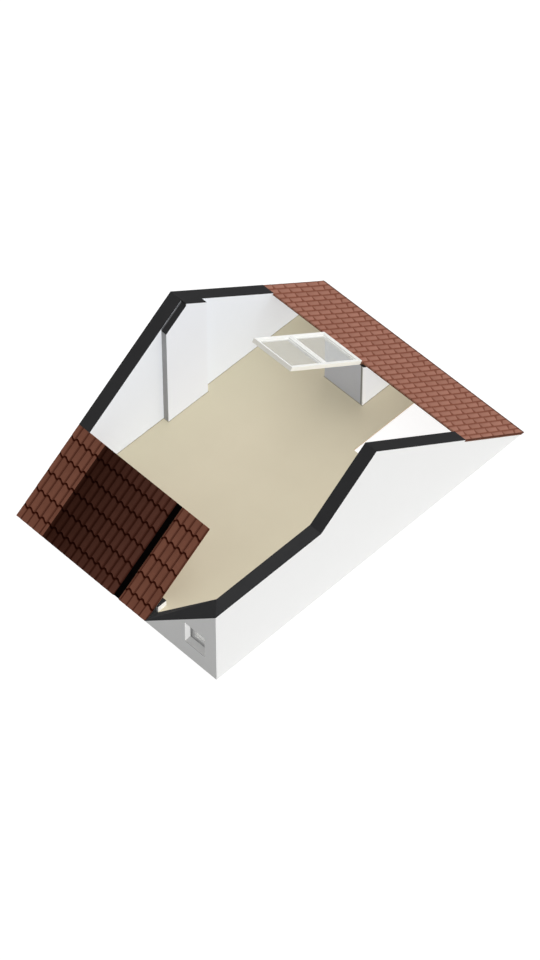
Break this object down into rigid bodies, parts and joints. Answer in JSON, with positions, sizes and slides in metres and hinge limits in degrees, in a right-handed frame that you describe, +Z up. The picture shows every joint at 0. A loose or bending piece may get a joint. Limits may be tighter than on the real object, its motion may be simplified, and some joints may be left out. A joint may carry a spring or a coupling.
{
  "type": "attic storey with half dormer gable",
  "caption": "Cut-open attic storey of a house: gable and party walls, half dormer gable with small window, tiled eaves strips, roof window on a knee wall, chimney breast and stairwell.",
  "frame": {"origin": "centre of the storey's base, on the underside of the floor", "axes": "+Z up, +Y from the dormer front toward the rear eaves, +X along the ridge toward the party wall"},
  "size_m": [6, 9.18, 3.4338],
  "materials": {
    "white_render": "matte white render and plaster",
    "black_capping": "matte near-black sheet",
    "floor_boards": "raw chipboard",
    "floor_covering": "matte beige sheet floor",
    "white_joinery": "satin white paint",
    "pane": "clear",
    "roof_boards": "rough sawn, stained brown",
    "roof_tile": "matte red-brown fired clay",
    "dark_roof_tile": "matte soot-dark fired clay",
    "black_lead": "matte black sheet",
    "knee_board": "matte white painted board"
  },
  "bodies": {
    "root": {"floor_deck": "floor_boards", "floor_covering": "floor_covering", "left_gable_wall": "white_render", "left_gable_capping_front": "black_capping", "left_gable_capping_rear": "black_capping", "chimney_breast": "white_render", "chimney_capping_front": "black_capping", "chimney_capping_rear": "black_capping", "party_wall": "white_render", "party_capping_dormer": "black_capping", "party_capping_front": "black_capping", "party_capping_rear": "black_capping", "dormer_front_wall": "white_render", "dormer_rake_capping": "black_capping", "dormer_window_sill": "white_render", "dormer_window_frame": "white_joinery", "dormer_window_sash": "white_joinery", "dormer_window_glass": "pane", "front_eaves_plate": "white_render", "front_plate_capping": "black_capping", "rear_eaves_plate": "white_render", "front_roof_deck": "roof_boards", "front_tiles_left": "roof_tile", "front_tiles_dark": "dark_roof_tile", "front_lead_channel": "black_lead", "front_tiles_right": "roof_tile", "rear_roof_deck": "roof_boards", "rear_tiles": "roof_tile", "knee_wall_front": "knee_board", "knee_wall_left_cheek": "knee_board", "knee_wall_right_cheek": "knee_board", "knee_wall_capping": "black_capping", "knee_wall_bearer": "roof_boards", "lower_roof_window_frame": "white_joinery", "lower_roof_window_sash": "white_joinery", "lower_roof_window_glass": "pane", "upper_roof_window_frame": "white_joinery", "upper_roof_window_sash": "white_joinery", "upper_roof_window_glass": "pane"}
  },
  "joints": []
}
